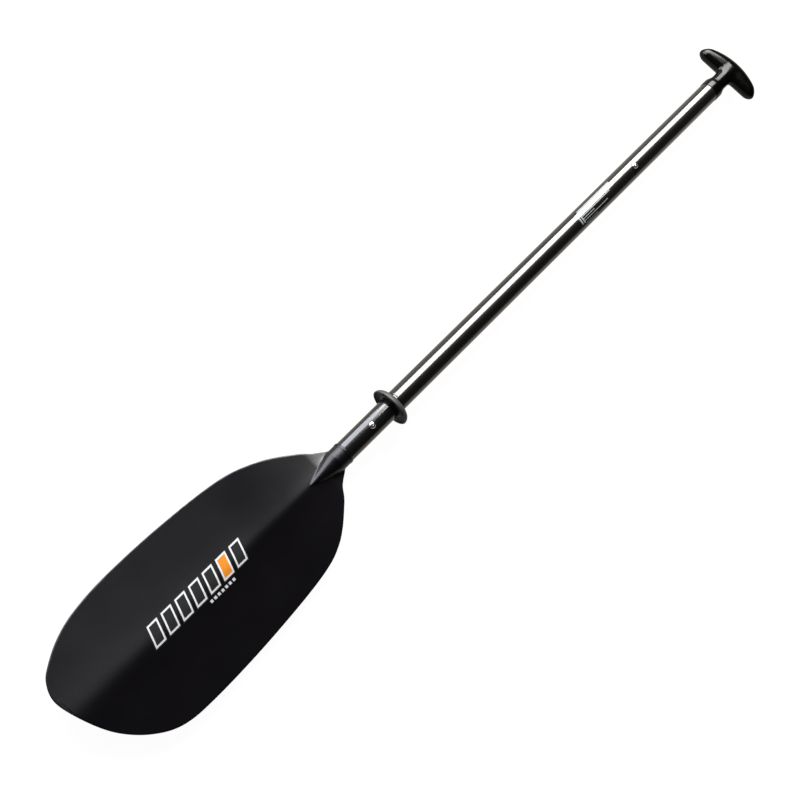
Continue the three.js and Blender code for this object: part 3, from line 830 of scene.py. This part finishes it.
def button_piece(name, bore, body, material):
    """A snap button: flange, pin, dome and the dimple in its crown."""
    top = flange_top(bore)
    crown = SHAFT_RADIUS + BUTTON_STAND
    profile = fillet([
        (top - FLANGE_THICKNESS, 0), (top - FLANGE_THICKNESS, FLANGE_RADIUS),
        (top, FLANGE_RADIUS), (top, BUTTON_RADIUS), (crown - BUTTON_DOME, BUTTON_RADIUS),
    ], 0.25)
    for i in range(1, 15):
        turn = i / 14 * math.pi / 2
        radius = DIMPLE_RADIUS + (BUTTON_RADIUS - DIMPLE_RADIUS) * math.cos(turn)
        profile.append((crown - BUTTON_DOME + BUTTON_DOME * math.sin(turn), radius))
    profile += [(crown - depth, radius) for depth, radius in DIMPLE]
    obj = mesh_object(name + "_fine", turned_upright(profile, middle(name)))
    finish_piece(obj, name, body, material)


LEAF_THICKNESS = 0.6
LEAF_WIDTH = 8.0
LEAF_REACH = 38.0
LEAF_PAD = 6.0
LEAF_BEND = 2.4


def leaf_line(x, floor, top):
    """The leaf's middle line as (x, z): flat foot, round bend, straight rise and flat pad."""
    bend_x = x + LEAF_REACH
    line = [(x - LEAF_PAD, floor), (bend_x, floor)]
    for i in range(1, 13):
        turn = i / 12 * math.pi
        line.append((bend_x + LEAF_BEND * math.sin(turn), floor + LEAF_BEND * (1 - math.cos(turn))))
    rise_from = np.array([bend_x, floor + 2 * LEAF_BEND])
    rise_to = np.array([x + LEAF_PAD, top])
    line += [tuple(rise_from + (rise_to - rise_from) * t) for t in np.linspace(0.1, 1, 10)]
    return [*line, (x - LEAF_PAD, top)]


def leaf_shell(line):
    """A flat strip of even thickness along the line."""
    points, faces = [], []
    half = LEAF_WIDTH / 2
    for i, (px, pz) in enumerate(line):
        ax, az = line[max(i - 1, 0)]
        bx, bz = line[min(i + 1, len(line) - 1)]
        length = math.hypot(bx - ax, bz - az)
        nx = -(bz - az) / length * LEAF_THICKNESS / 2
        nz = (bx - ax) / length * LEAF_THICKNESS / 2
        for y, sign in ((-half, 1), (half, 1), (half, -1), (-half, -1)):
            points.append((px + sign * nx, y, pz + sign * nz))
    for a in range(0, 4 * (len(line) - 1), 4):
        for k in range(4):
            faces.append((a + k, a + (k + 1) % 4, a + 4 + (k + 1) % 4, a + 4 + k))
    last = 4 * (len(line) - 1)
    faces += [(3, 2, 1, 0), (last, last + 1, last + 2, last + 3)]
    return points, faces


def spring_piece(name, x, bore, material):
    """The V leaf spring, with its pad under the button's flange."""
    top = flange_top(bore) - FLANGE_THICKNESS - PART_GAP - LEAF_THICKNESS / 2
    floor = -(math.sqrt(bore**2 - (LEAF_WIDTH / 2) ** 2) - PART_GAP) + LEAF_THICKNESS / 2
    obj = mesh_object(name + "_fine", leaf_shell(leaf_line(x, floor, top)))
    obj.data.materials.append(material)
    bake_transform(obj)
    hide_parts(name)


# ---------- drip ring ----------

RING_HUB_RADIUS = SHAFT_RADIUS + 3.3
RING_RADIUS = RING_HUB_RADIUS + 9.4
RING_CUP_DEPTH = 8.0
RING_THICKNESS = 2.0
RING_HUB_LENGTH = 6.0


def drip_ring_shell():
    """A cup of even wall on a short hub, its open side towards the blade."""
    back = along("drip_ring", 1)
    bore = SHAFT_RADIUS + PART_GAP
    rim_x = back - RING_CUP_DEPTH
    shrink = RING_THICKNESS / (RING_RADIUS - RING_HUB_RADIUS)
    outer, inner = [], []
    for i in range(25):
        turn = i / 24 * math.pi / 2
        radius = RING_HUB_RADIUS + (RING_RADIUS - RING_HUB_RADIUS) * math.sin(turn)
        depth = RING_CUP_DEPTH * (1 - math.cos(turn))
        outer.append((back - depth, radius))
        inner.append((
            back - RING_THICKNESS - depth * (1 - RING_THICKNESS / RING_CUP_DEPTH),
            radius - (radius - RING_HUB_RADIUS) * shrink,
        ))
    rim = [
        (rim_x - 0.5, RING_RADIUS - 0.35),
        (rim_x - 0.7, RING_RADIUS - RING_THICKNESS / 2),
        (rim_x - 0.5, RING_RADIUS - RING_THICKNESS + 0.35),
    ]
    hub = fillet([
        inner[1], inner[0], (back - RING_HUB_LENGTH, RING_HUB_RADIUS),
        (back - RING_HUB_LENGTH, bore), (back, bore), outer[0],
    ], 0.5)
    return turned([*outer, *rim, *inner[::-1][:-1], *hub[1:-1], outer[0]], 160)


# ---------- T-grip ----------

GRIP_HALF_WIDTH = 49.5
GRIP_UNDERSIDE = 36.5
GRIP_CROWN = 66.2
GRIP_CROWN_RADIUS = 86.0
GRIP_END_ROUND = 11.5
GRIP_HALF_DEPTH = 13.0
GRIP_END_HALF_DEPTH = 9.5
GRIP_TWIST = math.radians(-6)
GRIP_NECK_RADIUS = SHAFT_RADIUS - 2.7
COLLAR_RADIUS = SHAFT_RADIUS + 0.5
COLLAR_LENGTH = 9.5
COLLAR_SHOULDER = 6.5
BEAD_RADIUS = GRIP_NECK_RADIUS + 0.9
BEAD_WIDTH = 2.6
BEAD_X = COLLAR_X + COLLAR_LENGTH + COLLAR_SHOULDER + 0.6
GRIP_FILLET = 5.0
GRIP_VOXEL = 0.9
LEVEL_SCALE = 11.0
NECK_REACH = 50.0
ROUGH_NECK_REACH = 45.0
STEM_LENGTH = 34.0
STEM_BORE = 6.5


def crown_drop(y):
    """How far the bar's crown has fallen at y from its highest place."""
    return GRIP_CROWN_RADIUS - np.sqrt(np.maximum(GRIP_CROWN_RADIUS**2 - y * y, 0))


def into_end(y):
    """0 along the bar, growing to 1 through each rounded end."""
    return np.maximum(np.abs(y) - (GRIP_HALF_WIDTH - GRIP_END_ROUND), 0) / GRIP_END_ROUND


def bar_level(p):
    """Below zero inside the bar, in the bar's own frame, in millimetres near its surface."""
    x, y, z = p.T
    y, z = (
        y * math.cos(GRIP_TWIST) + z * math.sin(GRIP_TWIST),
        z * math.cos(GRIP_TWIST) - y * math.sin(GRIP_TWIST),
    )
    crown = COLLAR_X + GRIP_CROWN - crown_drop(y)
    underside = COLLAR_X + GRIP_UNDERSIDE
    half_height = np.maximum((crown - underside) / 2, 3)
    thinner = (y / GRIP_HALF_WIDTH) ** 2
    half_depth = GRIP_HALF_DEPTH + (GRIP_END_HALF_DEPTH - GRIP_HALF_DEPTH) * thinner
    past = into_end(y)
    a = (x - (crown + underside) / 2) / half_height
    b = z / np.maximum(half_depth, 3)
    return (np.sqrt(a * a + b * b + past * past + 1e-9) - 1) * LEVEL_SCALE


def neck_level(p):
    """Below zero inside the round neck."""
    x, y, z = p.T
    return np.maximum(np.hypot(y, z) - GRIP_NECK_RADIUS, x - (COLLAR_X + NECK_REACH))


def grip_level(p):
    """Bar and neck, joined by a soft fillet."""
    a, b = bar_level(p), neck_level(p)
    share = np.clip(0.5 + 0.5 * (b - a) / GRIP_FILLET, 0, 1)
    return b + (a - b) * share - GRIP_FILLET * share * (1 - share)


def gradient(level, p, step=0.02):
    """Slope of a level at each point, by central differences."""
    out = np.empty_like(p)
    for k in range(3):
        shift = np.zeros(3)
        shift[k] = step
        out[:, k] = (level(p + shift) - level(p - shift)) / (2 * step)
    return out


def rough_bar():
    """A simple closed bar and neck to remesh: only its topology is kept."""
    rings, around = [], 32
    for y in np.linspace(-GRIP_HALF_WIDTH + 0.6, GRIP_HALF_WIDTH - 0.6, 41):
        size = math.sqrt(max(0.02, 1 - into_end(y) ** 2))
        crown, underside = GRIP_CROWN - crown_drop(y), GRIP_UNDERSIDE
        for k in range(around):
            turn = 2 * math.pi * k / around
            x = COLLAR_X + (crown + underside) / 2 + size * (crown - underside) / 2 * math.cos(turn)
            z = size * GRIP_HALF_DEPTH * 0.9 * math.sin(turn)
            rings.append((
                x,
                y * math.cos(GRIP_TWIST) - z * math.sin(GRIP_TWIST),
                y * math.sin(GRIP_TWIST) + z * math.cos(GRIP_TWIST),
            ))
    faces = []
    count = len(rings) // around
    for r in range(count - 1):
        for k in range(around):
            n = (k + 1) % around
            faces.append((r * around + k, r * around + n, (r + 1) * around + n, (r + 1) * around + k))
    faces.append(tuple(range(around)))
    faces.append(tuple((count - 1) * around + k for k in range(around))[::-1])
    neck = turned([
        (BEAD_X + BEAD_WIDTH / 2, 0), (BEAD_X + BEAD_WIDTH / 2, GRIP_NECK_RADIUS),
        (COLLAR_X + ROUGH_NECK_REACH, GRIP_NECK_RADIUS), (COLLAR_X + ROUGH_NECK_REACH, 0),
    ], 48)
    return joined((rings, faces), neck)


def grip_bar_mesh():
    """Voxel remesh of the rough bar, with every point then moved onto the exact surface."""
    rough = mesh_object("rough_bar", rough_bar())
    remesh = rough.modifiers.new("remesh", "REMESH")
    remesh.mode = "VOXEL"
    remesh.voxel_size = GRIP_VOXEL * MM
    apply_modifiers(rough)
    mesh = rough.data
    co = np.zeros(len(mesh.vertices) * 3)
    mesh.vertices.foreach_get("co", co)
    p = (co.reshape(-1, 3) - np.array(SEAM)) / MM
    floor = BEAD_X + BEAD_WIDTH / 2
    for _ in range(12):
        slope = gradient(grip_level, p)
        size = np.maximum((slope * slope).sum(1), 0.05)
        move = -(grip_level(p) / size)[:, None] * slope
        length = np.linalg.norm(move, axis=1, keepdims=True)
        p = p + move * np.minimum(1, 1.0 / np.maximum(length, 1e-9))
        p[:, 0] = np.maximum(p[:, 0], floor)
    faces = [tuple(f.vertices) for f in mesh.polygons]
    bpy.data.objects.remove(rough)
    return p, faces


def grip_neck_shell():
    """Stem, collar, shoulder and bead, turned about the tube's axis."""
    shoulder_x = COLLAR_X + COLLAR_LENGTH
    stem_x = COLLAR_X - STEM_LENGTH
    stem_radius = GRIP_TUBE_BORE - FIT_GAP
    rise = COLLAR_RADIUS - GRIP_NECK_RADIUS
    bead_end = BEAD_X + BEAD_WIDTH
    profile = fillet([
        (stem_x, STEM_BORE), (stem_x, stem_radius), (COLLAR_X, stem_radius),
        (COLLAR_X, COLLAR_RADIUS), (shoulder_x, COLLAR_RADIUS),
    ], 0.3)
    for i in range(1, 17):
        turn = i / 16 * math.pi / 2
        radius = GRIP_NECK_RADIUS + rise * math.cos(turn)
        profile.append((shoulder_x + COLLAR_SHOULDER * math.sin(turn), radius))
    profile += fillet([
        (BEAD_X - 0.2, GRIP_NECK_RADIUS), (BEAD_X, GRIP_NECK_RADIUS), (BEAD_X + 0.3, BEAD_RADIUS),
        (bead_end - 0.3, BEAD_RADIUS), (bead_end, GRIP_NECK_RADIUS - 0.3),
        (bead_end + 0.3, GRIP_NECK_RADIUS - 1.0), (COLLAR_X + 30, STEM_BORE), (stem_x, STEM_BORE),
    ], 0.6)
    profile[-1] = profile[0]
    return turned(profile, 128)


# ---------- the paddle ----------

nylon, gloss, satin = blade_material(), gloss_material(), satin_material()
rubber, plastic, insert, foam = rubber_material(), grip_material(), insert_material(), foam_material()
button_steel = steel_material("Button Steel", (0.80, 0.78, 0.75), 0.20, (1, 1, 1))
spring_steel = steel_material("Spring Steel", (0.60, 0.61, 0.62), 0.32, (0.1, 1, 1))

blade = mesh_object("blade_fine", joined(blade_body(), blade_socket()), 40)
finish_piece(blade, "blade", "blade_section", nylon)
tube_piece("blade_shaft", TUBE_BORE, "blade_section", satin, LOWER_BUTTON_X)
ring = mesh_object("drip_ring_fine", drip_ring_shell(), 50)
finish_piece(ring, "drip_ring", "ring", rubber)
tube_piece("main_shaft", TUBE_BORE, "shaft", gloss, UPPER_BUTTON_X)
tube_piece("ferrule", FERRULE_BORE, "shaft", insert, LOWER_BUTTON_X)
tube_piece("grip_tube", GRIP_TUBE_BORE, "grip_section", insert, UPPER_BUTTON_X)
plug_piece("ferrule_plug", FERRULE_BORE, "shaft", foam)
plug_piece("grip_tube_plug", GRIP_TUBE_BORE, "grip_section", foam)
button_piece("lower_button", FERRULE_BORE, "lower_button", button_steel)
button_piece("upper_button", GRIP_TUBE_BORE, "upper_button", button_steel)
spring_piece(
    "lower_button_spring", LOWER_BUTTON_X, FERRULE_BORE, spring_steel
)
spring_piece(
    "upper_button_spring", UPPER_BUTTON_X, GRIP_TUBE_BORE, spring_steel
)
grip = mesh_object("t_grip_fine", joined(grip_bar_mesh(), grip_neck_shell()), 40)
finish_piece(grip, "t_grip", "grip_section", plastic)

# ---------- floor and lights ----------

FLOOR_SIZE = 60.0
SOFTBOX_DISTANCE = 1.3


def add_floor():
    """White to the camera, and dimmer in the light that it gives to the paddle."""
    s = Shader("Pale Studio Floor")
    place = s.millimetres()
    cloud = s.noise(place, 0.01, detail=3.0)
    seen = s.node("ShaderNodeLightPath", output="Is Camera Ray")
    s.surface(
        Base_Color=s.mix(cloud, (0.040, 0.040, 0.040), (0.045, 0.045, 0.045)),
        Roughness=1.0,
        Specular_IOR_Level=0.0,
        Emission_Color=s.mix(seen, (1.0, 0.93, 0.82), (1.0, 1.0, 1.0)),
        Emission_Strength=s.ramp(seen, 0, 1, 0.60, 0.97),
    )
    mesh = bpy.data.meshes.new("floor")
    half = FLOOR_SIZE / 2
    corners = [(-half, -half, 0), (half, -half, 0), (half, half, 0), (-half, half, 0)]
    mesh.from_pydata(corners, [], [(0, 1, 2, 3)])
    mesh.materials.append(s.material)
    floor = bpy.data.objects.new("floor", mesh)
    bpy.context.scene.collection.objects.link(floor)


def looking(place, right, up, back):
    """Where a light or camera stands, with its own axes."""
    return Matrix.Translation(place) @ Matrix((right, up, back)).transposed().to_4x4()


def add_softbox(name, x, lean, width, length, radiance, colour):
    """An area light that leans over from the left and is aimed at x metres along from the seam."""
    light = bpy.data.lights.new(name, "AREA")
    light.shape = "RECTANGLE"
    light.size, light.size_y = length, width
    light.energy = radiance * math.pi * length * width
    light.color = colour
    obj = bpy.data.objects.new(name, light)
    back = Vector((0, math.sin(math.radians(lean)), math.cos(math.radians(lean)))).normalized()
    right = Vector((1, 0, 0))
    place = SEAM + Vector((x, 0, 0)) + back * SOFTBOX_DISTANCE
    obj.matrix_world = looking(place, right, back.cross(right), back)
    bpy.context.scene.collection.objects.link(obj)


def add_world():
    """Pale to the eye, and dim in reflections, as a studio with black cloth round the table."""
    world = bpy.data.worlds.new("studio")
    world.use_nodes = True
    tree = world.node_tree
    tree.nodes.clear()
    out = tree.nodes.new("ShaderNodeOutputWorld")
    seen, room = tree.nodes.new("ShaderNodeBackground"), tree.nodes.new("ShaderNodeBackground")
    for node, colour, strength in ((seen, (1, 1, 1, 1), 1.0), (room, (1.0, 0.93, 0.88, 1), 0.05)):
        node.inputs["Color"].default_value = colour
        node.inputs["Strength"].default_value = strength
    mix, path = tree.nodes.new("ShaderNodeMixShader"), tree.nodes.new("ShaderNodeLightPath")
    tree.links.new(path.outputs["Is Camera Ray"], mix.inputs[0])
    tree.links.new(room.outputs[0], mix.inputs[1])
    tree.links.new(seen.outputs[0], mix.inputs[2])
    tree.links.new(mix.outputs[0], out.inputs[0])
    bpy.context.scene.world = world


add_floor()
add_world()
add_softbox(
    "warm_key", x=1.145, lean=42.5, width=1.18, length=1.37, radiance=24.0, colour=(1.0, 0.985, 0.95)
)
add_softbox(
    "cool_key", x=-0.08, lean=60, width=1.24, length=1.08, radiance=12.0, colour=(0.88, 0.92, 1.0)
)

# ---------- camera ----------

CAMERA_DISTANCE = 1.7584
CAMERA_TILT = math.radians(20.29)
CAMERA_SIDE = math.radians(0.84)
CAMERA_ROLL = math.radians(-0.29)
CAMERA_LENS = 63.87
AIM_ALONG = 4.2 * MM
AIM_RIGHT = 2.2 * MM
AIM_DOWN = 1.0 * MM


def add_camera():
    """Above the paddle and towards its blade, with the shaft running up to the right."""
    back = Vector((
        -math.sin(CAMERA_TILT),
        math.cos(CAMERA_TILT) * math.sin(CAMERA_SIDE),
        math.cos(CAMERA_TILT) * math.cos(CAMERA_SIDE),
    )).normalized()
    shaft = Vector((1, 0, 0)) - back * back.x
    shaft.normalize()
    cross = back.cross(shaft)
    turn = math.radians(45) + CAMERA_ROLL
    right = math.cos(turn) * shaft - math.sin(turn) * cross
    up = math.sin(turn) * shaft + math.cos(turn) * cross
    target = SEAM + Vector((AIM_ALONG, 0, 0)) + AIM_RIGHT * right - AIM_DOWN * up
    data = bpy.data.cameras.new("camera")
    data.sensor_width = 36.0
    data.lens = CAMERA_LENS
    data.clip_end = 50.0
    obj = bpy.data.objects.new("camera", data)
    obj.matrix_world = looking(target + back * CAMERA_DISTANCE, right, up, back)
    bpy.context.scene.collection.objects.link(obj)
    bpy.context.scene.camera = obj


add_camera()
bpy.context.scene.view_settings.view_transform = "Standard"
